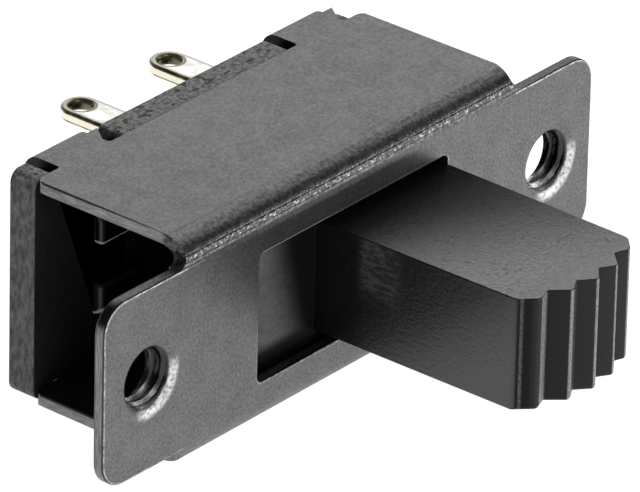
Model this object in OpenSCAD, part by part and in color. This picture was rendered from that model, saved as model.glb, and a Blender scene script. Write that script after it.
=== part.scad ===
// Panel-mounting slide switch: a folded steel frame, a crimped terminal board, solder lugs,
// and a moulded slider with a ribbed knob that carries two sprung contact bridges.
// X runs along the switch, Y backwards from the panel, Z up.
// The origin lies midway between the mounting holes, on the frame's front face.

/* [Frame] */
// Thickness of the frame's sheet
sheet_t = 0.6; // [0.5:0.05:0.8]
// Length from ear tip to ear tip
frame_l = 34.1; // [33.6:0.1:36]
// Height of an ear
ear_h = 9.1; // [8.4:0.1:9.8]
// Radius of an ear's outer corners
ear_corner_r = 1.4; // [0.6:0.1:2]
// Radius of the inner corner between an ear's edge and the fold
ear_fillet_r = 0.65; // [0.3:0.05:0.8]
// Length of the channel
channel_l = 22.7; // [22:0.1:23]
// Height of the channel over its two walls
channel_h = 11.3; // [11:0.1:12.4]
// Depth from the front face to the walls' rear edge
channel_d = 9.05; // [8.8:0.05:10.5]
// Outer radius of the folds between the plate and the walls
fold_r = 1.43; // [1.2:0.01:1.5]
// Radius of the walls' rear corners
wall_corner_r = 0.5; // [0.2:0.05:0.8]

/* [Mounting holes] */
// Distance between the mounting holes
hole_pitch = 28; // [27.6:0.1:28.6]
// Radius of the tapped bore before threading
tap_r = 1.25; // [1.1:0.01:1.4]
// Radius of the drawn entry, turning in from the front face to the bore
entry_round = 0.69; // [0.5:0.01:0.75]
// Wall of the drawn collar behind the ear
collar_wall = 0.45; // [0.3:0.05:0.6]
// Depth from the front face to the collar's end
collar_d = 1.4; // [1.2:0.05:1.9]

/* [Window] */
// Length of the window
window_l = 13.1; // [12.6:0.05:13.4]
// Height of the window
window_h = 6.46; // [6.2:0.02:7]
// Radius of the window's corners
window_corner_r = 0.3; // [0.1:0.05:0.5]

/* [Terminal board] */
// Thickness of the board
board_t = 1.5; // [1.2:0.1:2]
// Step from the walls' outer faces down to the board's long edges
board_step = 0.05; // [0:0.01:0.1]
// Radius of the board's corners
board_corner_r = 0.6; // [0.2:0.1:1]

/* [Crimp tabs] */
// Width of a tab
tab_w = 3.3; // [2.5:0.1:3.5]
// Distance between the middles of the two tabs of one wall
tab_pitch = 16.4; // [15.6:0.1:16.6]
// Shift of both tabs from the wall's middle towards its right end
tab_shift = 0.2; // [0:0.05:0.3]
// Length of a tab's flap on the board's back, from the wall's outer face
tab_flap = 1.9; // [1.8:0.1:2.2]
// Inner radius of a tab's fold
tab_fold_r = 0.05; // [0.02:0.01:0.1]
// Outer radius of a tab's fold, where the sheet is stretched thinner
tab_bend_r = 0.85; // [0.7:0.05:0.9]
// Radius of the inner corners where a tab leaves its wall
tab_root_r = 0.2; // [0.1:0.02:0.28]
// Width that the flare on a tab's right side adds to it
flare_w = 0.65; // [0.4:0.05:0.8]
// Depth of the straight side in front of a flare
flare_start = 0.4; // [0.3:0.05:0.6]
// Space between a tab's left side and its notch
notch_gap = 0.4; // [0.3:0.05:0.6]
// Space between a flare and its notch
flare_gap = 0.2; // [0.1:0.05:0.4]
// Radius of the corners where a notch opens
notch_round_r = 0.4; // [0.2:0.05:0.45]

/* [Terminals] */
// Thickness of the contact metal
lug_t = 0.6; // [0.4:0.05:0.7]
// Width of a solder lug
lug_w = 1.9; // [1.6:0.05:2.2]
// Depth from the front face to the lugs' tips
lug_reach = 17.2; // [15.5:0.1:19]
// Radius of the eye in a lug
lug_eye_r = 0.55; // [0.4:0.05:0.65]
// Distance between neighbouring contacts along the switch
contact_pitch = 6.2; // [6:0.05:6.4]
// Distance between the middles of the two rows of lugs
row_pitch = 4.7; // [4.5:0.1:5.2]
// Length of a contact pad
pad_l = 2.5; // [2.3:0.1:3.9]
// Height of a contact pad, from the lug's outer face inwards
pad_h = 1.65; // [1.5:0.05:1.8]
// Length of an idle contact's staked tail behind the board
tail_l = 0.4; // [0.2:0.05:0.8]

/* [Knob] */
// Width of the knob along the switch, at the frame's front face
knob_w = 8.15; // [7.9:0.05:8.4]
// Draft of the knob's two side faces, in degrees
knob_draft = 0.6; // [0.2:0.1:1.2]
// Height of the knob
knob_h = 5.6; // [5.2:0.05:6]
// Reach of the middle ridge in front of the frame
knob_reach = 12.03; // [10.5:0.05:14]
// Radius of the arc on which the ridges' crests lie
crown_r = 7.1; // [6.5:0.1:9]
// Number of ridges
ridge_n = 5; // [3:2:7]
// Distance between the ridges' crests
ridge_pitch = 1.58; // [1.2:0.02:1.6]
// Depth of the grooves between the ridges
groove_d = 0.62; // [0.4:0.02:0.8]
// Drop of the outermost ridges' outer flanks, from the crown arc
shoulder_d = 0.3; // [0.1:0.05:0.5]

/* [Slider] */
// Thickness of the cover flange behind the window
flange_t = 1.2; // [1:0.05:1.4]
// Radius of the flange's two long front edges
flange_edge_r = 0.7; // [0.6:0.05:0.9]
// Wall of the contact carrier round its pockets
carrier_wall = 0.8; // [0.5:0.05:0.9]
// Material left between the spring wells' floors and the frame's window
well_floor = 1.6; // [1.4:0.1:2]
// Depth of the pocket that guides a bridge
pocket_d = 1.4; // [1.2:0.1:1.8]

/* [Contact bridges] */
// Thickness of a bridge's sheet
bridge_t = 0.3; // [0.2:0.05:0.35]
// Width of a bridge
bridge_w = 1.5; // [1.3:0.05:1.6]
// Length of a bridge beyond its two contact ridges
bridge_end = 1.2; // [1:0.05:1.3]
// Height of a bridge's contact ridges
bridge_ridge_h = 0.45; // [0.35:0.05:0.55]
// Width of the flat crest of a contact ridge
bridge_ridge_flat = 0.3; // [0.2:0.05:0.4]
// Width of the foot of a contact ridge
bridge_ridge_foot = 1.3; // [1.1:0.05:1.5]
// Length of a bridge's turned-up ends
bridge_lip = 0.8; // [0.5:0.05:1]

/* [Contact springs] */
// Diameter of the spring wire
wire_d = 0.28; // [0.2:0.02:0.34]
// Outer diameter of a spring
spring_d = 2.1; // [1.8:0.05:2.2]
// Number of open turns
spring_turns = 4; // [3:1:5]

/* [Fits] */
// Space between the knob and a window end at its stop
stop_gap = 0.05; // [0.03:0.01:0.1]
// Space between the flange and the plate
flange_gap = 0.3; // [0.25:0.05:0.4]
// Space between the flange and each wall
side_gap = 0.2; // [0.15:0.05:0.3]
// Space between the flange and the channel's end at a stop
end_gap = 0.03; // [0:0.01:0.1]
// Space round a tab or a contact in the board
slot_gap = 0.03; // [0.02:0.01:0.06]
// Space round a bridge in its pocket
bridge_gap = 0.1; // [0.05:0.01:0.15]
// Space round a spring in its well
well_gap = 0.15; // [0.1:0.01:0.2]
// Space between a bridge's contact ridges and the pads
contact_gap = 0.03; // [0.02:0.01:0.05]
// Space between the carrier and the pads
carrier_gap = 0.45; // [0.35:0.05:0.6]
// Space at each end of a spring
seat_gap = 0.02; // [0.01:0.01:0.04]

/* [Hidden] */
$fn = 48;

// Cuts run this far past the faces they open.
past = 1;

// Frame
half_h = channel_h / 2;
inner_half_h = half_h - sheet_t;
hole_x = hole_pitch / 2;
entry_r = tap_r + entry_round;
collar_r = tap_r + collar_wall;

// Board and tabs
board_back = channel_d + board_t;
board_h = channel_h - 2 * board_step;
tab_left_x = tab_shift - tab_pitch / 2;
tab_right_x = tab_shift + tab_pitch / 2;
tab_back = board_back + tab_fold_r + sheet_t;
bend_front = tab_back - tab_bend_r;
notch_floor = inner_half_h - slot_gap;

// Contacts: the pads lie on the board's front face
pad_front = channel_d - lug_t;
row_z = row_pitch / 2;
pad_z = row_z + lug_t / 2 - pad_h / 2;

// Slider: the knob stops at the window's ends
travel = window_l - knob_w - 2 * stop_gap;
rest_x = travel / 2;
flange_front = sheet_t + flange_gap;
flange_back = flange_front + flange_t;
flange_l = channel_l - travel - 2 * end_gap;
flange_half_h = inner_half_h - side_gap;
bridge_l = contact_pitch + 2 * bridge_end;
pocket_l = bridge_l + 2 * bridge_gap;
pocket_w = bridge_w + 2 * bridge_gap;
well_r = spring_d / 2 + well_gap;
carrier_back = pad_front - carrier_gap;
carrier_l = pocket_l + 2 * carrier_wall;
carrier_h = 2 * (pad_z + max(pocket_w / 2, well_r) + carrier_wall);
pocket_front = carrier_back - pocket_d;
well_front = sheet_t + well_floor;

// Bridges and springs
bridge_back = pad_front - contact_gap - bridge_ridge_h;
bridge_front = bridge_back - bridge_t;
spring_front = well_front + seat_gap;
spring_l = bridge_front - seat_gap - spring_front;
spring_r = (spring_d - wire_d) / 2;

steel_black = [0.24, 0.24, 0.25];
phenolic = [0.20, 0.16, 0.13];
silvered = [0.80, 0.78, 0.72];
black = [0.10, 0.10, 0.11];
copper = [0.78, 0.52, 0.32];
spring_steel = [0.55, 0.56, 0.58];

// A rectangle in the XY plane with round corners.
module round_rect(w, h, r) {
    union() {
        square([w - 2 * r, h], center = true);
        square([w, h - 2 * r], center = true);
        for (x = [-1, 1], y = [-1, 1])
            translate([x * (w / 2 - r), y * (h / 2 - r)])
                circle(r = r);
    }
}

// Extrudes an outline drawn in X and Z from depth y0 back to depth y1.
module depth_extrude(y0, y1) {
    translate([0, y1, 0])
        rotate([90, 0, 0])
            linear_extrude(height = y1 - y0)
                children();
}

// Extrudes an outline drawn in Y and Z along X, from x0 to x1.
module length_extrude(x0, x1) {
    translate([x0, 0, 0])
        rotate([90, 0, 90])
            linear_extrude(height = x1 - x0)
                children();
}

// The channel's section in Y and Z: the plate, two folds and two walls.
module channel_section() {
    translate([0, -half_h + fold_r])
        square([sheet_t, channel_h - 2 * fold_r]);
    for (side = [-1, 1]) {
        translate([fold_r, side * (half_h - fold_r)])
            intersection() {
                difference() {
                    circle(r = fold_r);
                    circle(r = fold_r - sheet_t);
                }
                translate([-fold_r - past, side > 0 ? 0 : -fold_r - past])
                    square(fold_r + past);
            }
        translate([fold_r, side > 0 ? half_h - sheet_t : -half_h])
            square([channel_d - fold_r, sheet_t]);
    }
}

// The channel, the rear corners of its walls rounded.
module channel() {
    intersection() {
        length_extrude(-channel_l / 2, channel_l / 2)
            channel_section();
        translate([0, 0, -half_h - past])
            linear_extrude(height = channel_h + 2 * past)
                union() {
                    translate([-channel_l / 2, -past])
                        square([channel_l, channel_d - wall_corner_r + past]);
                    translate([-channel_l / 2 + wall_corner_r, -past])
                        square([channel_l - 2 * wall_corner_r, channel_d + past]);
                    for (end = [-1, 1])
                        translate([end * (channel_l / 2 - wall_corner_r), channel_d - wall_corner_r])
                            circle(r = wall_corner_r);
                }
    }
}

// One ear, with its two outer corners rounded, from the channel's inside to its tip.
module ear() {
    depth_extrude(0, sheet_t)
        intersection() {
            round_rect(frame_l, ear_h, ear_corner_r);
            translate([channel_l / 2 - past, -ear_h])
                square([frame_l, 2 * ear_h]);
        }
}

// The round inner corners where an ear's two edges run into the folds' ends.
module ear_fillets() {
    intersection() {
        difference() {
            length_extrude(channel_l / 2 - past, channel_l / 2 + ear_fillet_r)
                channel_section();
            for (side = [-1, 1])
                depth_extrude(-past, channel_d + past)
                    translate([channel_l / 2 + ear_fillet_r, side * (ear_h / 2 + ear_fillet_r)])
                        circle(r = ear_fillet_r);
        }
        translate([0, -past, -ear_h / 2 - ear_fillet_r])
            cube([frame_l, fold_r + past, ear_h + 2 * ear_fillet_r]);
    }
}

// The drawn hole's mouth and bore, to be cut out, along Y from the front face.
module drawn_hole_cut() {
    rotate([-90, 0, 0])
        rotate_extrude()
            difference() {
                translate([0, -past])
                    square([entry_r, collar_d + 2 * past]);
                union() {
                    translate([entry_r, entry_round])
                        circle(r = entry_round);
                    translate([tap_r, entry_round])
                        square([entry_r, collar_d + 2 * past]);
                }
            }
}

module collar() {
    rotate([-90, 0, 0])
        cylinder(r = collar_r, h = collar_d);
}

// A block from depth y0 back to y1 and from height z0 up to z1, with a round upper back edge.
module edge_block(y0, y1, z0, z1, r) {
    translate([y0, z0])
        square([y1 - r - y0, z1 - z0]);
    translate([y0, z0])
        square([y1 - y0, z1 - r - z0]);
    translate([y1 - r, z1 - r])
        circle(r = r);
}

// A crimp tab of the upper wall: through the board's notch, then folded down behind it.
module tab() {
    length_extrude(-tab_w / 2, tab_w / 2)
        difference() {
            edge_block(channel_d - past, tab_back, half_h - tab_flap, half_h, tab_bend_r);
            edge_block(
                channel_d - 2 * past, board_back + tab_fold_r,
                half_h - tab_flap - past, inner_half_h, tab_fold_r
            );
        }
}

// The outline of a tab in front of its fold: the round corners at its root and the flare on its right.
module tab_sides() {
    translate([0, channel_d])
        difference() {
            translate([-tab_w / 2 - tab_root_r, -past])
                square([tab_w + 2 * tab_root_r, tab_root_r + past]);
            for (side = [-1, 1])
                translate([side * (tab_w / 2 + tab_root_r), tab_root_r])
                    circle(r = tab_root_r);
        }
    polygon([
        [0, channel_d + flare_start],
        [tab_w / 2, channel_d + flare_start],
        [tab_w / 2 + flare_w, bend_front],
        [0, bend_front]
    ]);
}

module frame() {
    color(steel_black)
        difference() {
            union() {
                channel();
                for (end = [0, 1])
                    mirror([end, 0, 0]) {
                        ear();
                        ear_fillets();
                        translate([hole_x, 0, 0])
                            collar();
                    }
                for (x = [tab_left_x, tab_right_x], side = [0, 1])
                    translate([x, 0, 0])
                        mirror([0, 0, side]) {
                            tab();
                            translate([0, 0, inner_half_h])
                                linear_extrude(height = sheet_t)
                                    tab_sides();
                        }
            }
            depth_extrude(-past, sheet_t + past)
                round_rect(window_l, window_h, window_corner_r);
            for (end = [-1, 1])
                translate([end * hole_x, 0, 0])
                    drawn_hole_cut();
        }
}

// The contacts' places: common in the middle, switched to the right, idle to the left.
contact_places = [-contact_pitch, 0, contact_pitch];

// A notch in the board's upper edge for a tab at place x, cut as far as x1, with round corners.
module notch(x, x1) {
    x0 = x - tab_w / 2 - notch_gap;
    translate([x0, notch_floor])
        square([x1 - x0, past]);
    for (corner = [[x0, 0], [x1, 1]])
        translate([corner[0], board_h / 2 - notch_round_r])
            mirror([corner[1], 0])
                difference() {
                    translate([-notch_round_r, 0])
                        square([notch_round_r, past]);
                    translate([-notch_round_r, 0])
                        circle(r = notch_round_r);
                }
}

// The left notches are closed on both sides; the right ones are open at the board's end.
module terminal_board() {
    color(phenolic)
        depth_extrude(channel_d, board_back)
            difference() {
                round_rect(channel_l, board_h, board_corner_r);
                for (side = [0, 1])
                    mirror([0, side]) {
                        notch(tab_left_x, tab_left_x + tab_w / 2 + flare_w + flare_gap);
                        notch(tab_right_x, channel_l / 2 + past);
                    }
                for (x = contact_places, side = [-1, 1])
                    translate([x, side * row_z])
                        square([lug_w + 2 * slot_gap, lug_t + 2 * slot_gap], center = true);
            }
}

// A contact of the upper row at place x: its pad, its fold and its strip back to depth strip_end.
module contact_blank(x, strip_end) {
    length_extrude(x - pad_l / 2, x + pad_l / 2)
        translate([pad_front, row_z + lug_t / 2 - pad_h])
            square([lug_t, pad_h - lug_t]);
    length_extrude(x - pad_l / 2, x + pad_l / 2)
        translate([channel_d, row_z - lug_t / 2])
            intersection() {
                circle(r = lug_t);
                translate([-lug_t, 0])
                    square(lug_t);
            }
    translate([x - lug_w / 2, channel_d, row_z - lug_t / 2])
        cube([lug_w, strip_end - channel_d, lug_t]);
}

// A terminal of the upper row: a contact whose strip ends in a round solder lug with an eye.
module terminal(x) {
    color(silvered)
        difference() {
            union() {
                contact_blank(x, lug_reach - lug_w / 2);
                translate([x, lug_reach - lug_w / 2, row_z])
                    cylinder(r = lug_w / 2, h = lug_t, center = true);
            }
            translate([x, lug_reach - lug_w / 2, row_z])
                cylinder(r = lug_eye_r, h = lug_t + 2 * past, center = true);
        }
}

module idle_contact() {
    color(silvered)
        contact_blank(-contact_pitch, board_back + tail_l);
}

// Depth of the crown arc behind the middle crest, at a distance x from the knob's middle.
function crown_drop(x) = crown_r - sqrt(crown_r * crown_r - x * x);
function crest(i) = [i * ridge_pitch, -knob_reach + crown_drop(i * ridge_pitch)];
function groove(i) = [(i + 0.5) * ridge_pitch, -knob_reach + crown_drop((i + 0.5) * ridge_pitch) + groove_d];

last_crest = (ridge_n - 1) / 2;
tip_half = knob_w / 2 - (knob_reach - crown_drop(knob_w / 2)) * tan(knob_draft);
shoulder_y = -knob_reach + crown_drop(tip_half) + shoulder_d;
root_half = knob_w / 2 + flange_front * tan(knob_draft);

// The knob's outline from above: two drafted sides and a crown of ridges and grooves.
knob_outline = concat(
    [[root_half, flange_front], [-root_half, flange_front], [-tip_half, shoulder_y]],
    [for (i = [-last_crest : last_crest])
        each (i < last_crest ? [crest(i), groove(i)] : [crest(i)])],
    [[tip_half, shoulder_y]]
);

module knob() {
    linear_extrude(height = knob_h, center = true)
        polygon(knob_outline);
}

// The flange behind the window, its two long front edges rounded to clear the folds.
module flange() {
    length_extrude(-flange_l / 2, flange_l / 2)
        union() {
            translate([flange_front, -flange_half_h + flange_edge_r])
                square([flange_t, 2 * (flange_half_h - flange_edge_r)]);
            translate([flange_front + flange_edge_r, -flange_half_h])
                square([flange_t - flange_edge_r, 2 * flange_half_h]);
            for (side = [-1, 1])
                translate([flange_front + flange_edge_r, side * (flange_half_h - flange_edge_r)])
                    circle(r = flange_edge_r);
        }
}

// The carrier's two pockets for the bridges, and the round wells for their springs.
module carrier_cuts() {
    for (side = [-1, 1])
        translate([0, 0, side * pad_z]) {
            translate([-pocket_l / 2, pocket_front, -pocket_w / 2])
                cube([pocket_l, pocket_d + past, pocket_w]);
            translate([0, well_front, 0])
                rotate([-90, 0, 0])
                    cylinder(r = well_r, h = carrier_back + past - well_front);
        }
}

module slider() {
    color(black)
        translate([rest_x, 0, 0]) {
            difference() {
                union() {
                    knob();
                    flange();
                    translate([-carrier_l / 2, flange_front, -carrier_h / 2])
                        cube([carrier_l, carrier_back - flange_front, carrier_h]);
                }
                carrier_cuts();
            }
        }
}

// The line of a bridge's rear face in X and Y: flat, with a contact ridge over each pad.
function bridge_ridge(x) = [
    [x - bridge_ridge_foot / 2, 0],
    [x - bridge_ridge_flat / 2, bridge_ridge_h],
    [x + bridge_ridge_flat / 2, bridge_ridge_h],
    [x + bridge_ridge_foot / 2, 0]
];
bridge_line = concat(bridge_ridge(-contact_pitch / 2), bridge_ridge(contact_pitch / 2));

module contact_bridge() {
    last = len(bridge_line) - 1;
    color(copper)
        translate([rest_x, bridge_back, pad_z])
            linear_extrude(height = bridge_w, center = true)
                polygon(concat(
                    [[-bridge_l / 2, -bridge_lip], [-bridge_l / 2, 0]],
                    bridge_line,
                    [[bridge_l / 2, 0], [bridge_l / 2, -bridge_lip]],
                    [[bridge_l / 2 - bridge_t, -bridge_lip], [bridge_l / 2 - bridge_t, -bridge_t]],
                    [for (i = [last : -1 : 0]) bridge_line[i] - [0, bridge_t]],
                    [[-bridge_l / 2 + bridge_t, -bridge_t], [-bridge_l / 2 + bridge_t, -bridge_lip]]
                ));
}

// A coil spring along +Y: one closed turn at each end, and open turns between.
spring_steps = 20;
wire_sides = 8;
closed_rise = wire_d * 1.05;
open_rise = (spring_l - wire_d - 2 * closed_rise) / spring_turns;
function spring_rise(turn) =
    turn < 1 ? turn * closed_rise
    : turn < spring_turns + 1 ? closed_rise + (turn - 1) * open_rise
    : closed_rise + spring_turns * open_rise + (turn - spring_turns - 1) * closed_rise;

module coil_spring() {
    rings = (spring_turns + 2) * spring_steps;
    points = [
        for (k = [0 : rings], s = [0 : wire_sides - 1])
            let (
                turn = k / spring_steps,
                a = 360 * turn,
                b = 360 * (s + 0.5) / wire_sides,
                r = spring_r + wire_d / 2 * cos(b)
            )
            [r * cos(a), wire_d / 2 + spring_rise(turn) + wire_d / 2 * sin(b), r * sin(a)]
    ];
    sides = [
        for (k = [0 : rings - 1], s = [0 : wire_sides - 1])
            let (n = (s + 1) % wire_sides, p = k * wire_sides, q = p + wire_sides)
            each [[p + s, p + n, q + s], [p + n, q + n, q + s]]
    ];
    ends = [
        [for (s = [wire_sides - 1 : -1 : 0]) s],
        [for (s = [0 : wire_sides - 1]) rings * wire_sides + s]
    ];
    polyhedron(points = points, faces = concat(sides, ends));
}

module contact_spring() {
    color(spring_steel)
        translate([rest_x, spring_front, pad_z])
            coil_spring();
}

// The lower row is the upper one mirrored.
module lower() {
    mirror([0, 0, 1])
        children();
}

frame();
terminal_board();
slider();
terminal(0);  // terminal_common_top
lower() terminal(0);  // terminal_common_bottom
terminal(contact_pitch);  // terminal_switched_top
lower() terminal(contact_pitch);  // terminal_switched_bottom
idle_contact();  // idle_contact_top
lower() idle_contact();  // idle_contact_bottom
contact_bridge();  // contact_bridge_top
lower() contact_bridge();  // contact_bridge_bottom
contact_spring();  // contact_spring_top
lower() contact_spring();  // contact_spring_bottom
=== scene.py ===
"""Slide switch: the looks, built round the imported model.

Named sizes are millimetres, and MM turns them into the metres of the scene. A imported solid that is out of
sight is dressed as it is. Each of the others is replaced by a copy whose edges are broken as the press,
the saw or the mould leaves them, and the frame's threads are cut with a worked-out plug.
"""

import math

import bmesh
import bpy
import numpy as np
from mathutils import Matrix, Vector


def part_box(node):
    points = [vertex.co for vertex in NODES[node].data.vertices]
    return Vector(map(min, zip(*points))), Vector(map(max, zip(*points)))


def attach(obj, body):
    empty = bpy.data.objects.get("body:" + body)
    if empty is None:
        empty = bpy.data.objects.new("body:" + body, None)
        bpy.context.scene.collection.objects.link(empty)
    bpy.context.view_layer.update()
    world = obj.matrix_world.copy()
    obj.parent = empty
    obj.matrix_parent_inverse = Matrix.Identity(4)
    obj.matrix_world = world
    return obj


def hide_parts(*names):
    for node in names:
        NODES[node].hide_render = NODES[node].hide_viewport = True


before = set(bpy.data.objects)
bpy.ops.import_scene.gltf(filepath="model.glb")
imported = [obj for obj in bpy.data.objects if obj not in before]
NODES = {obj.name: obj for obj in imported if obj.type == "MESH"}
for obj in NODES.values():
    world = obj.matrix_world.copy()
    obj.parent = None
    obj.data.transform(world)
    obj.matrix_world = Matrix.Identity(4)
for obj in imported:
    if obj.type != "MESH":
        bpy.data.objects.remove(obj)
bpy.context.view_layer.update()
MM = 0.001


# ---------------------------------------------------------------- the switch's own sizes

# The steel frame: its sheet, its two folded walls and its tapped holes.
SHEET_T = 0.6
HALF_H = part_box("frame")[1].z / MM
HOLE_X = 14.0
TAP_R = 1.25
ENTRY_R = 1.94
COLLAR_D = 1.4
WINDOW_HALF_L = 6.55
WINDOW_TOP = 3.23

# The board, whose ends and front also tell where the walls end and where its space begins.
WALL_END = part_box("terminal_board")[1].x / MM
BOARD_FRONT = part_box("terminal_board")[0].y / MM

# The slider: the crown is the arc through the ribs' crests.
KNOB_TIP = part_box("slider")[0].y / MM
SLIDER_X = (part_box("slider")[0].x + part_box("slider")[1].x) / 2 / MM
KNOB_HALF_H = 2.8
TIP_HALF_W = 3.9
RIB_PITCH = 1.58
CROWN_R = 7.1

# The solder lugs' eyes.
EYE_Y = 16.15
EYE_R = 0.55
LUG_PITCH = 6.2


# ---------------------------------------------------------------- camera, light and floor

AZIMUTH, ELEVATION, ROLL = map(math.radians, (-50.77, 27.84, 1.383))
DISTANCE = 423.2
LENS, SENSOR = 531.3, 36.0
AIM_RIGHT, AIM_UP = -1.50, 0.99

SKY_COLOUR, SKY_STRENGTH = (0.95, 0.97, 1.0), 0.13
FLOOR_TONE, FLOOR_GLOW = 0.7, 0.95

# How far the floor goes each way, in metres.
FLOOR_REACH = 4.0

# Name, direction from the switch, distance, width and height in metres, and power in watts.
SOFT_BOXES = (
    ("back_box", (0.72, 0.6, 0.5), 1.0, 0.75, 0.6, 2.3),
    ("top_box", (0.685, 0.0, 0.74), 1.0, 0.6, 0.8, 1.2),
    ("front_box", (-0.2, -0.9, 0.4), 1.0, 0.5, 0.5, 2.4),
    ("right_strip", (0.685, -0.7, 0.16), 0.8, 0.5, 0.2, 1.6),
)


def view_axes(azimuth, elevation, roll):
    """The camera's right, up and backward directions: azimuth turns it round Z, roll round its own axis."""
    right = Vector((math.cos(azimuth), math.sin(azimuth), 0))
    back = Vector((
        math.sin(azimuth) * math.cos(elevation),
        -math.cos(azimuth) * math.cos(elevation),
        math.sin(elevation),
    ))
    up = back.cross(right)
    turned_right = right * math.cos(roll) + up * math.sin(roll)
    turned_up = up * math.cos(roll) - right * math.sin(roll)
    return turned_right, turned_up, back


def add_camera():
    """A long lens, so far off that the switch shows almost no perspective, aimed just beside the origin."""
    right, up, back = view_axes(AZIMUTH, ELEVATION, ROLL)
    data = bpy.data.cameras.new("camera")
    data.lens, data.sensor_width = LENS, SENSOR
    data.clip_start, data.clip_end = 0.01, 20
    camera = bpy.data.objects.new("camera", data)
    bpy.context.scene.collection.objects.link(camera)
    place = (right * AIM_RIGHT + up * AIM_UP + back * DISTANCE) * MM
    turn = Matrix((right, up, back)).transposed().to_4x4()
    camera.matrix_world = Matrix.Translation(place) @ turn
    bpy.context.scene.camera = camera


def add_softbox(name, direction, distance, width, height, power):
    """A white rectangular area light that looks at the switch from the given direction."""
    data = bpy.data.lights.new(name, "AREA")
    data.shape, data.size, data.size_y = "RECTANGLE", width, height
    data.energy = power
    light = bpy.data.objects.new(name, data)
    bpy.context.scene.collection.objects.link(light)
    direction = Vector(direction).normalized()
    light.location = direction * distance
    light.rotation_mode = "QUATERNION"
    light.rotation_quaternion = direction.to_track_quat("Z", "Y")
    light.visible_camera = False


def add_floor():
    """A square floor under the switch, pale and glowing, so that it stays white round the shadow."""
    finish = Finish("pale_floor", grey(FLOOR_TONE), 0.9)
    finish.set("Emission Color", (1, 1, 1, 1))
    finish.set("Emission Strength", FLOOR_GLOW)
    low, high, drop = -FLOOR_REACH, FLOOR_REACH, -HALF_H * MM
    corners = [(low, low, drop), (high, low, drop), (high, high, drop), (low, high, drop)]
    mesh = bpy.data.meshes.new("floor")
    mesh.from_pydata(corners, [], [(0, 1, 2, 3)])
    mesh.materials.append(finish.material)
    ground = bpy.data.objects.new("floor", mesh)
    bpy.context.scene.collection.objects.link(ground)


def add_studio():
    """A dim sky, soft boxes behind, above and in front, a strip low on the right, and the floor."""
    bpy.context.scene.view_settings.view_transform = "Standard"
    world = bpy.data.worlds.new("studio")
    world.use_nodes = True
    sky = world.node_tree.nodes["Background"]
    sky.inputs["Color"].default_value = (*SKY_COLOUR, 1)
    sky.inputs["Strength"].default_value = SKY_STRENGTH
    bpy.context.scene.world = world
    for box in SOFT_BOXES:
        add_softbox(*box)
    add_floor()


# ---------------------------------------------------------------- shader arithmetic


class Wire:
    """A socket that can be used in sums: with another wire or a number, each operator adds a Math node."""

    def __init__(self, finish, socket):
        self.finish, self.socket = finish, socket

    def _math(self, operation, first, second):
        return self.finish.node("ShaderNodeMath", {"operation": operation}, {0: first, 1: second})

    def __add__(self, other):
        return self._math("ADD", self, other)

    def __radd__(self, other):
        return self._math("ADD", other, self)

    def __sub__(self, other):
        return self._math("SUBTRACT", self, other)

    def __rsub__(self, other):
        return self._math("SUBTRACT", other, self)

    def __mul__(self, other):
        return self._math("MULTIPLY", self, other)

    def __rmul__(self, other):
        return self._math("MULTIPLY", other, self)

    def __neg__(self):
        return self._math("MULTIPLY", self, -1)

    def __truediv__(self, other):
        return self._math("DIVIDE", self, other)

    def __pow__(self, other):
        return self._math("POWER", self, other)

    def __abs__(self):
        return self._math("ABSOLUTE", self, 0)


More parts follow.
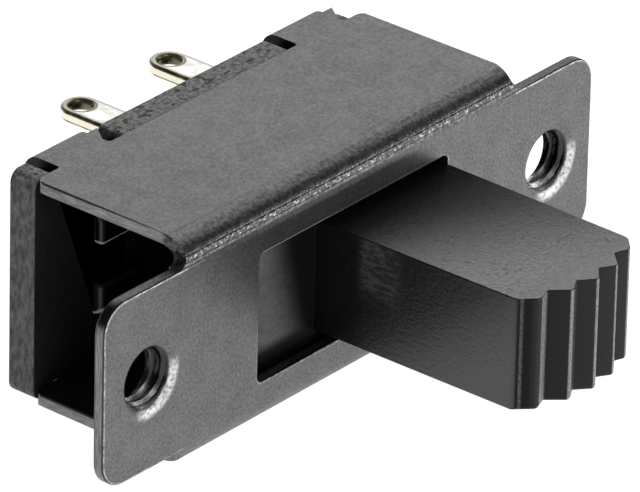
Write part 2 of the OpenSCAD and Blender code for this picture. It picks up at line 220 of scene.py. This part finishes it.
class Finish:
    """A material on a Principled surface; node() adds any node and wires it up."""

    def __init__(self, name, colour, roughness, metallic=0.0, specular=0.5):
        self.material = bpy.data.materials.new(name)
        self.material.use_nodes = True
        self.tree = self.material.node_tree
        self.surface = self.tree.nodes["Principled BSDF"]
        self.set("Base Color", (*colour, 1))
        self.set("Roughness", roughness)
        self.set("Metallic", metallic)
        self.set("Specular IOR Level", specular)

    def node(self, kind, settings=None, inputs=None, output=0):
        """Adds a node of a type. Its settings are set first, then the values or wires of its sockets."""
        made = self.tree.nodes.new(kind)
        for key, value in (settings or {}).items():
            setattr(made, key, value)
        for key, value in (inputs or {}).items():
            self._feed(made.inputs[key], value)
        return Wire(self, made.outputs[output])

    def set(self, socket, value):
        """Gives a socket of the surface a value or a wire."""
        self._feed(self.surface.inputs[socket], value)

    def _feed(self, socket, value):
        if isinstance(value, Wire):
            self.tree.links.new(value.socket, socket)
        else:
            socket.default_value = value

    def cover(self, layer, amount):
        """Lays a second surface over the first, wholly where amount is 1."""
        first = Wire(self, self.surface.outputs["BSDF"])
        mixed = self.node("ShaderNodeMixShader", None, {0: amount, 1: first, 2: layer})
        self._feed(self.tree.nodes["Material Output"].inputs["Surface"], mixed)

    # Short names for the nodes that every finish uses.

    def place(self, scale=(1, 1, 1)):
        """Object coordinates in millimetres, times scale."""
        where = self.node("ShaderNodeTexCoord", output="Object")
        factor = tuple(s / MM for s in scale)
        return self.node("ShaderNodeVectorMath", {"operation": "MULTIPLY"}, {0: where, 1: factor})

    def axes(self, vector):
        """The vector's x, y and z."""
        return [self.node("ShaderNodeSeparateXYZ", None, {0: vector}, k) for k in range(3)]

    def facing(self):
        """The x, y and z of the direction that the surface faces."""
        return self.axes(self.node("ShaderNodeTexCoord", output="Normal"))

    def noise(self, vector, scale, detail=3.0, roughness=0.55):
        """Noise from 0 to 1, with about scale bumps in a unit of the vector."""
        return self.node("ShaderNodeTexNoise", None, {
            "Vector": vector, "Scale": scale, "Detail": detail, "Roughness": roughness,
        })

    def step(self, value, low, high, to_low=0.0, to_high=1.0):
        """Goes smoothly from to_low to to_high while value goes from low to high, up or down."""
        return self.node("ShaderNodeMapRange", {"interpolation_type": "SMOOTHSTEP"}, {
            "Value": value, "From Min": low, "From Max": high, "To Min": to_low, "To Max": to_high,
        })

    def larger(self, first, second):
        """The larger of two wires."""
        return self.node("ShaderNodeMath", {"operation": "MAXIMUM"}, {0: first, 1: second})

    def blend(self, amount, first, second):
        """A colour that goes from first to second as amount goes from 0 to 1."""
        first, second = [(*c, 1) if isinstance(c, tuple) else c for c in (first, second)]
        return self.node("ShaderNodeMix", {"data_type": "RGBA"}, {"Factor": amount, 6: first, 7: second}, 2)

    def bump(self, height, depth, normal=None):
        """A bump whose height, from 0 to 1, stands for depth in millimetres, on top of another if given."""
        inputs = {"Height": height, "Distance": depth * MM, "Strength": 1.0}
        if normal is not None:
            inputs["Normal"] = normal
        return self.node("ShaderNodeBump", None, inputs)


def grey(tone):
    """A neutral colour."""
    return (tone, tone, tone)


# ---------------------------------------------------------------- finishes


def blackened_steel():
    """Oxide-blackened sheet: satin dark grey with a fine grain. The upper fold is smooth and dark, with a
    coarse, sparkling border below it. Each countersink is rubbed bright, painted as a highlight on its lower
    right only, and the tapped wall behind it is painted dark as shade, with a painted glint low down. Sheared
    edges are streaked along the cut, with painted shade beside the board and on corners that face up and
    left."""
    f = Finish("blackened_steel", grey(0.15), 0.45, 1.0)
    where = f.place()
    x, y, z = f.axes(where)
    nx, ny, nz = f.facing()
    grain = f.noise(where, 7.0, 4.0, 0.8)
    coarse = f.noise(where, 5.5, 2.0, 0.5)
    cloud = f.noise(where, 0.8, 4.0, 0.6)
    tone = 0.8 * f.step(grain, 0.34, 0.66) + 0.2 * f.step(cloud, 0.3, 0.7)
    skin = f.blend(tone, (0.083, 0.083, 0.085), (0.215, 0.215, 0.218))

    # Round the holes: the countersink, its rubbed side, painted as a highlight on its lower right only, and
    # the tapped wall, painted dark as shade with a painted glint low down.
    hole = x - HOLE_X * f.step(x, -0.1, 0.1, -1.0, 1.0)
    radial = (hole * hole + z * z) ** 0.5
    countersink = f.step(radial, ENTRY_R + 0.12, ENTRY_R - 0.05)
    # Painted highlight: the rubbed ring keeps its bright colour only on its lower right, where light falls.
    highlit_lower_right = f.step((0.64 * hole - 0.77 * z) / radial, 0.3, 0.75)
    rubbed = f.step(radial, ENTRY_R + 0.15, ENTRY_R - 0.15) * f.step(radial, TAP_R + 0.15, TAP_R + 0.32)
    # From here rubbed holds the rubbed ring only where the highlight is painted.
    rubbed = rubbed * highlit_lower_right
    # Painted shade: the tapped wall is dark, as the shade inside the hole, with a painted glint low down on
    # it.
    tapped = f.step(radial, TAP_R + 0.32, TAP_R + 0.24) * f.step(y, 0.08, 0.2)
    painted_glint = f.step(z, -0.5, -1.1) * f.step(hole, 1.0, 0.3)

    # The upper fold, from where the sheet leaves the plate to where it is upright, and its lower border.
    folded = f.step(-ny, 0.1, 0.4) * f.step(-ny, 0.995, 0.97) * (1 - countersink) * f.step(z, -1, 0)
    border = folded * f.step(-ny, 0.83, 0.87) * f.step(-ny, 0.96, 0.92) * f.step(z, 0, 1)

    # Sheared edges: streaks, painted shade beside the board and on corners that face up and left, and dark at
    # the fold's end.
    along_z = f.noise(f.place((4, 6, 0.6)), 1.8, 4.0, 0.75)
    along_y = f.noise(f.place((4, 0.6, 6)), 1.8, 4.0, 0.75)
    on_wall = f.step(y, SHEET_T, SHEET_T + 0.3)
    streaks = f.step(along_z * (1 - on_wall) + along_y * on_wall, 0.3, 0.7)
    ear_edge = f.step(abs(ny), 0.3, 0.1) * f.step(y, SHEET_T + 0.05, SHEET_T)
    sheared = f.larger(f.step(abs(nx), 0.8, 0.95), ear_edge) * (1 - tapped)
    shade_beside_board = f.step(y, BOARD_FRONT - 0.1, BOARD_FRONT + 0.1)
    # Painted shade: corners that face up and left are dark.
    corner = f.step(nz, 0.25, 0.5) * f.step(-nx, 0.25, 0.5)
    fold_end = f.step(y, 1.9, 1.3) * f.step(z, 4.3, 4.7)
    mottled = f.blend(f.step(coarse, 0.35, 0.65), grey(0.02), grey(0.1))
    cut_edge = f.blend(streaks, grey(0.1), grey(0.27))
    cut_edge = f.blend(shade_beside_board, cut_edge, grey(0.02))
    cut_edge = f.blend(corner, cut_edge, grey(0.025))
    cut_edge = f.blend(fold_end, cut_edge, mottled)

    skin = f.blend(sheared, skin, cut_edge)
    skin = f.blend(folded, skin, f.blend(f.step(coarse, 0.35, 0.65), grey(0.09), grey(0.17)))
    skin = f.blend(border, skin, f.blend(f.step(coarse, 0.48, 0.68), grey(0.045), grey(0.2)))
    skin = f.blend(rubbed, skin, f.blend(f.step(coarse, 0.3, 0.6), grey(0.3), grey(0.72)))
    skin = f.blend(tapped, skin, f.blend(painted_glint, grey(0.045), grey(0.45)))
    plate = f.step(-ny, 0.97, 0.995)
    f.set("Base Color", skin)
    f.set("Roughness", 0.4 + 0.12 * grain - 0.2 * folded - 0.2 * tapped - 0.09 * plate)
    fine = f.bump(grain, 0.004)
    f.set("Normal", f.bump(coarse * f.larger(rubbed, f.larger(border, 0.35 * folded)), 0.03, fine))
    return f.material


def rubbed_steel_painted_light():
    """The rim that the press rolls along each cut, rubbed, with its light and shade painted in: a painted
    highlight where it meets the front face, lightest on rims that also face up and left, painted shade behind
    that, plain where it runs on under the folds, and matt along the window's upper edge."""
    f = Finish("rubbed_steel_painted_light", grey(0.3), 0.25, 1.0)
    where = f.place()
    x, _, z = f.axes(where)
    nx, ny, nz = f.facing()
    nick = f.noise(where, 3.0, 3.0, 0.7)
    # Painted highlight on rims that face the front, lightest (polish) where they also face up and left;
    # painted shade on the rest.
    bright = f.step(-ny, 0.72, 0.85) * f.step(nick, 0.3, 0.7, 0.2, 1.0)
    polish = f.blend(f.step(nz - nx, 0.5, 0.7), grey(0.5), grey(0.95))
    rim = f.blend(bright, grey(0.05), polish)
    at_fold = f.step(abs(x), WALL_END + 0.3, WALL_END - 0.1) * f.step(abs(z), 4.2, 4.4)
    rim = f.blend(at_fold, rim, grey(0.14))
    above_knob = f.step(z, WINDOW_TOP - 0.13, WINDOW_TOP - 0.03) * f.step(-nz, 0.1, 0.3)
    burr = above_knob * f.step(abs(x), WINDOW_HALF_L + 0.15, WINDOW_HALF_L - 0.05)
    f.set("Base Color", f.blend(burr, rim, grey(0.25)))
    f.set("Metallic", 1 - burr)
    f.set("Roughness", 0.25 + 0.25 * nick)
    f.set("Normal", f.bump(nick, 0.02))
    return f.material


def phenolic_board():
    """Laminated phenolic: dark resin, painted near-black on the broad faces as the shade inside the frame,
    and on the sawn edges paler fibres drawn out along the layers. The upper edge is the palest, partly
    painted light because it faces up, with black pits where the saw has torn it; the notches' walls are
    darker."""
    f = Finish("phenolic_board", (0.1, 0.09, 0.08), 0.6)
    where = f.place()
    x, _, _ = f.axes(where)
    nx, ny, nz = f.facing()
    fibre = f.noise(f.place((2.0, 2.6, 1.1)), 1.8, 5.0, 0.7)
    fleck = f.noise(f.place((0.9, 1.1, 0.9)), 2.2, 1.0, 0.5)
    grit = f.noise(where, 5.0, 3.0, 0.7)

    streak = f.step(0.75 * fibre + 0.25 * fleck, 0.36, 0.64)
    end_face = f.blend(streak, (0.01, 0.0098, 0.009), (0.12, 0.118, 0.112))
    pale = f.step(0.5 * fibre + 0.5 * grit, 0.4, 0.6)
    # Painted light: the upper edge is paler than the ends because it faces up; its fibres are real.
    pale_and_lit_top_face = f.blend(pale, (0.1, 0.102, 0.096), (0.42, 0.425, 0.4))
    top = f.step(nz, 0.3, 0.8)
    torn = f.step(fleck + 0.3 * grit, 0.55, 0.5) * top
    edge = f.blend(torn, f.blend(top, end_face, pale_and_lit_top_face), (0.01, 0.01, 0.009))
    notch_wall = f.blend(f.step(fibre, 0.4, 0.6), (0.02, 0.019, 0.018), (0.12, 0.12, 0.115))
    notched = f.step(abs(nx), 0.4, 0.7) * f.step(abs(x), WALL_END - 0.1, WALL_END - 0.3)
    edge = f.blend(notched, edge, notch_wall)

    # Painted shade: the broad faces are near-black, as the shade inside the frame.
    f.set("Base Color", f.blend(f.step(abs(ny), 0.5, 0.8), edge, (0.009, 0.008, 0.007)))
    f.set("Roughness", 0.5 + 0.25 * fleck)
    f.set("Normal", f.bump(fibre + 0.5 * grit - 0.3 * torn, 0.04))
    return f.material


def black_plastic():
    """Black moulding: a satin skin with flow ripples and small pits, polished on its sides and towards the
    tip. The ribs' flats are plain and matt, painted a little lighter as a reflection; their crests and
    right-hand flanks are grey, partly wear and partly a painted highlight. The flange is rubbed at its ends
    and painted lighter there, as light beyond the knob's shade, and the left side has a painted sheen."""
    black = (0.006, 0.006, 0.0063)
    f = Finish("black_plastic", black, 0.35, 0.0, 0.1)
    where = f.place()
    x, y, z = f.axes(where)
    nx, ny, nz = f.facing()
    aside = x - SLIDER_X
    ripple = f.noise(f.place((0.9, 0.6, 1.8)), 3.0, 4.0, 0.7)
    pits = f.step(f.noise(where, 3.4, 2.0, 0.5), 0.33, 0.27)
    grain = f.noise(where, 9.0, 3.0, 0.6)
    speckle = f.noise(where, 5.0, 2.0, 0.5)

    # The ribs: plain flats painted lighter as a reflection, and grey along the crests, up the first step and
    # on the left corner, partly wear and partly a painted highlight on flanks that face right.
    at_tip = f.step(y, KNOB_TIP + 1.1, KNOB_TIP + 0.9)
    at_tip = at_tip * f.step(abs(aside), 2.3 * RIB_PITCH, 2.2 * RIB_PITCH)
    off_crest = f.node("ShaderNodeMath", {"operation": "PINGPONG"}, {0: aside, 1: RIB_PITCH / 2})
    crest = f.step(off_crest, 0.1, 0.06) * f.step(aside, -2.6, -2.2)
    first_step = f.step(aside, -1.9, -2.1, 0.0, 0.85)
    near_crest = f.larger(f.step(off_crest, 0.17, 0.1, 0.15, 1.0), first_step)
    # Painted highlight on flanks that face right near the crests; together with the crests' wear it makes the
    # ribs grey.
    right_flank_highlight = f.step(nx, 0.05, 0.2) * near_crest
    wear_and_highlight = at_tip * f.larger(right_flank_highlight, crest) * f.step(abs(nz), 0.6, 0.3)
    corner = f.step(y, KNOB_TIP + 1.6, KNOB_TIP + 1.4) * f.step(-aside, 3.7, 3.76) * f.step(-nx, 0.8, 0.7)
    wear_and_highlight = f.larger(wear_and_highlight, 0.3 * corner)
    # Painted reflection: flats at the tip that face the front are lighter than the black.
    flat = at_tip * f.step(-ny, 0.5, 0.9)

    # The flange behind the window, rubbed at both ends and painted lighter there as light beyond the knob's
    # shade, and the left side's painted sheen at the root and the tip.
    flange = f.step(y, 0.6, 0.85) * f.step(-ny, 0.5, 0.8)
    # Scuff and painted light: the flange is lighter towards its ends, beyond the knob's shade.
    scuff_and_light = flange * f.step(abs(aside) - 0.25 * z, 5.0, 7.6) * f.step(z, -2.7, -2.0)
    left = f.step(-nx, 0.85, 0.97)
    # Painted sheen: lighter on the left side near the root and towards the tip.
    root_sheen = left * f.step(y, -1.4, -2.0) * f.step(y, -4.3, -3.4) * f.step(z, -0.6, 0.9)
    tip_sheen = left * f.step(y + 1.2 * z, -8.0, -11.0)

    skin = f.blend(scuff_and_light * f.step(ripple, 0.2, 0.8, 0.6, 1.0), black, grey(0.15))
    skin = f.blend(flat, skin, (0.03, 0.03, 0.0303))
    skin = f.blend(root_sheen * f.step(ripple, 0.42, 0.6, 0.2, 1.0), skin, (0.055, 0.055, 0.053))
    skin = f.blend(tip_sheen, skin, grey(0.025))
    skin = f.blend(wear_and_highlight * f.step(grain, 0.35, 0.65, 0.4, 1.0), skin, grey(0.34))
    f.set("Base Color", skin)
    root = f.step(y, 0.3, 0.5) * f.step(abs(nx), 0.1, 0.3) * f.step(abs(ny), 0.1, 0.3)
    f.set("Roughness", 0.35 + 0.1 * grain + 0.15 * scuff_and_light + 0.5 * root)

    # The polish is a sharp gloss under a weak, broad one. It grows from the root to the tip, and is uneven
    # on the top.
    top = f.step(nz, 0.4, 0.8) * f.step(y + 0.5 * aside, -1.5, KNOB_TIP + 1.0)
    top = top * f.step(speckle, 0.3, 0.7, 0.75, 1.05)
    side = f.step(abs(nx), 0.85, 0.97) * f.step(y, -1.2, -2.1, 0.2, 1.0)
    side = side * f.step(y + 1.2 * z, -4.5, -9.0, 0.35, 1.0)
    behind_ribs = f.step(y, KNOB_TIP + 1.0, KNOB_TIP + 2.2)
    waves = f.bump(ripple * behind_ribs, 0.03)
    normal = f.bump((1.5 * speckle - pits) * behind_ribs, 0.012, waves)
    f.set("Normal", normal)
    polish = f.node("ShaderNodeBsdfPrincipled", None, {
        "Base Color": skin, "Roughness": 0.18, "Specular IOR Level": 0.5, "Normal": normal,
        "Coat Weight": 1.0, "Coat Roughness": 0.4, "Coat IOR": 1.2,
    })
    f.cover(polish, f.larger(top, side))
    return f.material


def silvered_brass():
    """Silver plate over brass: cloudy on the flats; a darker olive band round the top's border, along the
    lug's sides and end, painted as the shade where the edge rolls away; olive brass inside the eye, painted
    dark as shade; and painted dark as shade inside the frame, in front of the board."""
    f = Finish("silvered_brass", (0.85, 0.83, 0.78), 0.2, 1.0)
    where = f.place()
    x, y, _ = f.axes(where)
    _, _, nz = f.facing()
    cloud = f.noise(where, 1.5, 4.0, 0.6)
    lines = f.noise(f.place((1, 0.2, 3)), 4.0, 3.0, 0.6)
    flat = f.blend(f.step(cloud, 0.35, 0.7), (0.72, 0.715, 0.69), (0.5, 0.49, 0.45))
    side = f.blend(lines, (0.9, 0.87, 0.75), (0.7, 0.65, 0.5))
    skin = f.blend(f.step(abs(nz), 0.5, 0.2), flat, side)
    eye_x = x - LUG_PITCH * f.step(x, 0.45 * LUG_PITCH, 0.55 * LUG_PITCH)
    eye = (eye_x * eye_x + (y - EYE_Y) ** 2) ** 0.5
    # Painted shade: the eye's wall is dark olive brass, as the shade inside the eye.
    inside = f.step(eye, EYE_R + 0.2, EYE_R + 0.13)
    outline = f.larger(abs(eye_x), eye * f.step(y, EYE_Y - 0.1, EYE_Y + 0.1))
    # Painted shade: a darker olive band round the top's border, where the edge rolls away.
    edge_roll_shade = f.step(outline, 0.55, 0.85) * f.step(abs(nz), 0.5, 0.8)
    skin = f.blend(edge_roll_shade, skin, (0.3, 0.29, 0.24))
    skin = f.blend(inside, skin, (0.14, 0.125, 0.08))
    # Painted shade: the plate inside the frame, in front of the board, is dark.
    interior_shade = f.step(y, BOARD_FRONT + 0.1, BOARD_FRONT)
    f.set("Base Color", f.blend(interior_shade, skin, (0.12, 0.12, 0.115)))
    f.set("Roughness", 0.2 + 0.16 * cloud)
    return f.material


def worn_brass_painted_light():
    """Olive brass that shows along the lugs' rims, where the plate wears away, painted darker as shade, with
    a painted highlight on the rims that face the lug's end.
    """
    f = Finish("worn_brass_painted_light", (0.2, 0.18, 0.11), 0.35, 1.0)
    cloud = f.noise(f.place(), 2.5, 3.0)
    _, ny, _ = f.facing()
    brass = f.blend(f.step(cloud, 0.35, 0.65), (0.12, 0.105, 0.06), (0.3, 0.28, 0.19))
    # Painted highlight on rims that face the lug's end; the other rims are painted dark as shade.
    f.set("Base Color", f.blend(f.step(ny, 0.1, 0.35), brass, (0.6, 0.59, 0.55)))
    return f.material


def bright_rim():
    """Painted light on the idle contacts' pads' rims: a painted highlight on the lower rims, painted shade on
    the rest.
    """
    f = Finish("bright_rim", (0.8, 0.8, 0.78), 0.4, 0.2)
    _, _, nz = f.facing()
    # Painted highlight on rims that face down; painted shade on the rest.
    f.set("Base Color", f.blend(f.step(-nz, 0.1, 0.4), grey(0.03), (0.85, 0.85, 0.82)))
    return f.material


def cloudy_metal(name, colour, scale):
    """A plain bright metal whose roughness varies in clouds, about scale of them in a millimetre."""
    f = Finish(name, colour, 0.3, 1.0)
    f.set("Roughness", 0.2 + 0.2 * f.noise(f.place(), scale))
    return f.material


# ---------------------------------------------------------------- pieces

# Rounding of edges, as a radius: the frame's rolled rims, the ribs, and the other pieces' broken edges.
RIM_R = 0.11
RIB_R = 0.2
MOULD_R = 0.05
BOARD_R = 0.05
LUG_R = 0.15
PAD_R = 0.2

# Edges are rounded above the first angle, and shaded as corners above the second, both in degrees.
ROUNDED_ANGLE = 32
CORNER_ANGLE = 40

# The folds' tight roots beside the ears, where a rim stays sharp: from and to in X, above in Z, before in Y.
ROOT_START, ROOT_END = 10.2, 12.02
ROOT_LOW, ROOT_BACK = 4.2, 1.45

THREAD_PITCH, THREAD_DEPTH = 0.5, 0.27


def show(mesh, name, body, replaced):
    """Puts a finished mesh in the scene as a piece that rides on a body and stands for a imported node."""
    piece = bpy.data.objects.new(name, mesh)
    bpy.context.scene.collection.objects.link(piece)
    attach(piece, body)
    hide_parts(replaced)


def baked(piece):
    """The piece's mesh with its modifiers applied; the piece itself is removed."""
    graph = bpy.context.evaluated_depsgraph_get()
    mesh = bpy.data.meshes.new_from_object(piece.evaluated_get(graph))
    bpy.data.objects.remove(piece)
    return mesh


def loose(mesh):
    """An object that holds the mesh while modifiers work on it."""
    piece = bpy.data.objects.new(mesh.name, mesh)
    bpy.context.scene.collection.objects.link(piece)
    return piece


def loose_copy(node, materials):
    """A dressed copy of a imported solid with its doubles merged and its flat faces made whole."""
    mesh = bpy.data.meshes.new(node + "_copy")
    work = bmesh.new()
    work.from_mesh(NODES[node].data)
    bmesh.ops.remove_doubles(work, verts=work.verts, dist=1e-7)
    flat = math.radians(0.4)
    bmesh.ops.dissolve_limit(work, angle_limit=flat, verts=work.verts, edges=work.edges, delimit=set())
    work.to_mesh(mesh)
    work.free()
    for material in materials:
        mesh.materials.append(material)
    return loose(mesh)


def break_edges(piece, radius):
    """Rounds every sharp edge. If the piece has a second material, the rounding takes it."""
    bevel = piece.modifiers.new("broken_edges", "BEVEL")
    bevel.width, bevel.segments = radius * MM, 3
    bevel.limit_method, bevel.angle_limit = "ANGLE", math.radians(ROUNDED_ANGLE)
    bevel.miter_outer = "MITER_ARC"
    bevel.use_clamp_overlap = False
    if len(piece.data.materials) > 1:
        bevel.material = 1


def round_chosen(piece, chosen, radius):
    """Rounds the edges for which chosen(first ends, second ends) is true, arrays of points in millimetres."""
    mesh = piece.data
    points = np.empty(len(mesh.vertices) * 3)
    mesh.vertices.foreach_get("co", points)
    ends = np.empty(len(mesh.edges) * 2, np.int32)
    mesh.edges.foreach_get("vertices", ends)
    points, ends = points.reshape(-1, 3) / MM, ends.reshape(-1, 2)
    weights = chosen(points[ends[:, 0]], points[ends[:, 1]]).astype(np.float32)
    mesh.attributes.new("bevel_weight_edge", "FLOAT", "EDGE").data.foreach_set("value", weights)
    bevel = piece.modifiers.new("rounded", "BEVEL")
    bevel.width, bevel.segments = radius * MM, 4
    bevel.limit_method, bevel.use_clamp_overlap = "WEIGHT", False


def round_rims(piece, chosen, radius):
    """Rounds the sharp edges whose middles are chosen(x, y, z) in millimetres. The rounding takes the
    piece's second material."""
    work = bmesh.new()
    work.from_mesh(piece.data)
    sharp = [edge for edge in work.edges if edge.calc_face_angle(0) > math.radians(ROUNDED_ANGLE)]
    rims = [edge for edge in sharp if chosen(*((edge.verts[0].co + edge.verts[1].co) / 2 / MM))]
    bmesh.ops.bevel(
        work, geom=rims, offset=radius * MM, offset_type="OFFSET", segments=3, profile=0.5,
        affect="EDGES", clamp_overlap=False, material=1, miter_outer="ARC")
    work.to_mesh(piece.data)
    work.free()


def smooth(mesh):
    """Smooth shading, with the larger faces ruling the normals and the corners kept."""
    work = bmesh.new()
    work.from_mesh(mesh)
    for face in work.faces:
        face.smooth = True
    for edge in work.edges:
        edge.smooth = edge.calc_face_angle(0) < math.radians(CORNER_ANGLE)
    work.to_mesh(mesh)
    work.free()
    piece = loose(mesh)
    weigh = piece.modifiers.new("even_normals", "WEIGHTED_NORMAL")
    weigh.mode, weigh.weight, weigh.keep_sharp = "FACE_AREA", 100, True
    return baked(piece)


def thread_plug(centre_x):
    """The air inside a tapped hole, on a grid of depths by angles. The radius there is the tapping radius
    less a hair, plus a rounded saw-tooth that climbs one pitch a turn and runs in behind the countersink.
    A fan of triangles closes each end."""
    hair, turn, start, stop = 0.06, 72, -0.3, COLLAR_D + 0.3
    y = np.linspace(start, stop, int((stop - start) / 0.03))[:, None]
    angle = np.linspace(0, 2 * math.pi, turn, endpoint=False)[None, :]
    phase = (y / THREAD_PITCH + angle / (2 * math.pi)) % 1
    groove = np.clip(np.clip(1.25 - 2.2 * np.abs(phase - 0.5), 0, 1) - 0.15, 0, 0.95)
    run_in = np.clip((y - 0.1) / 0.15, 0, 1)
    radius = TAP_R - hair + (THREAD_DEPTH + hair) * groove * run_in
    rings = np.stack([centre_x + radius * np.cos(angle), y + 0 * angle, radius * np.sin(angle)], -1)
    points = np.vstack([rings.reshape(-1, 3), [[centre_x, start, 0], [centre_x, stop, 0]]]) * MM

    index = np.arange(rings.shape[0] * turn).reshape(-1, turn)
    onward = np.roll(index, -1, 1)
    quads = np.stack([index[:-1], onward[:-1], onward[1:], index[1:]], -1).reshape(-1, 4)
    first_hub = np.full(turn, index.size)
    front_fan = np.stack([index[0], first_hub, onward[0]], -1)
    back_fan = np.stack([onward[-1], first_hub + 1, index[-1]], -1)
    mesh = bpy.data.meshes.new("thread_plug")
    mesh.from_pydata(points.tolist(), [], quads.tolist() + front_fan.tolist() + back_fan.tolist())
    work = bmesh.new()
    work.from_mesh(mesh)
    bmesh.ops.recalc_face_normals(work, faces=work.faces)
    work.to_mesh(mesh)
    work.free()
    return loose(mesh)


def cut(mesh, tool):
    """The mesh with the tool's volume taken away; the tool is removed."""
    piece = loose(mesh)
    boolean = piece.modifiers.new("cut", "BOOLEAN")
    boolean.operation, boolean.object, boolean.solver = "DIFFERENCE", tool, "EXACT"
    result = baked(piece)
    bpy.data.objects.remove(tool)
    return result


def clear_rim(x, y, z):
    """Whether a rim of the frame runs clear of the folds' tight roots and of the notched back edge."""
    at_root = ROOT_START < abs(x) < ROOT_END and abs(z) > ROOT_LOW and y < ROOT_BACK
    return y < BOARD_FRONT - 0.3 and not at_root


def build_frame(material, rim_material):
    """The folded sheet with its rolled rims, and a thread cut into each drawn hole."""
    sheet = loose_copy("frame", [material, rim_material])
    round_rims(sheet, clear_rim, RIM_R)
    mesh = baked(sheet)
    for centre_x in (-HOLE_X, HOLE_X):
        mesh = cut(mesh, thread_plug(centre_x))
    show(smooth(mesh), "frame_sheet", "housing", "frame")


def rib_edges(first, second):
    """Which edges of the knob's tip are rounded: the upright crests of the ribs, which lie within a hair
    of the crown's arc, the tip's upright corners, and the lower rim."""
    upright = np.abs(first - second)[:, 2] > KNOB_HALF_H
    upright &= np.abs(first - second)[:, :2].max(1) < 0.01
    off_middle = np.abs(first[:, 0] - SLIDER_X)
    crown = KNOB_TIP + CROWN_R - np.sqrt(CROWN_R**2 - np.minimum(off_middle, CROWN_R) ** 2)
    crest = upright & (np.abs(first[:, 1] - crown) < 0.1)
    corner = upright & (off_middle > TIP_HALF_W) & (first[:, 1] < KNOB_TIP + 1.6)
    rim = np.maximum(first, second)[:, 2] < -KNOB_HALF_H + 0.01
    rim &= np.maximum(first, second)[:, 1] < KNOB_TIP + 2
    return crest | corner | rim


def build_slider(material):
    """The moulding with soft ribs and a hair of rounding on every other edge."""
    copy = loose_copy("slider", [material])
    round_chosen(copy, rib_edges, RIB_R)
    break_edges(copy, MOULD_R)
    show(smooth(baked(copy)), "slider_moulding", "slider", "slider")


def build_softened(node, name, radius, materials):
    """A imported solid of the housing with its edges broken."""
    copy = loose_copy(node, materials)
    break_edges(copy, radius)
    show(smooth(baked(copy)), name, "housing", node)


# ---------------------------------------------------------------- the whole switch

add_camera()
add_studio()

silver, rim_brass, pad_rim = silvered_brass(), worn_brass_painted_light(), bright_rim()
copper = cloudy_metal("contact_copper", (0.72, 0.45, 0.28), 2.0)
wire = cloudy_metal("spring_steel", (0.5, 0.5, 0.52), 6.0)

build_frame(blackened_steel(), rubbed_steel_painted_light())
build_slider(black_plastic())
build_softened("terminal_board", "board_laminate", BOARD_R, [phenolic_board()])
for row in ("top", "bottom"):
    for place in ("common", "switched"):
        lug = f"{place}_{row}"
        build_softened("terminal_" + lug, "solder_lug_" + lug, LUG_R, [silver, rim_brass])
    build_softened("idle_contact_" + row, "idle_pad_" + row, PAD_R, [silver, pad_rim])
    NODES["contact_bridge_" + row].data.materials[0] = copper
    NODES["contact_spring_" + row].data.materials[0] = wire
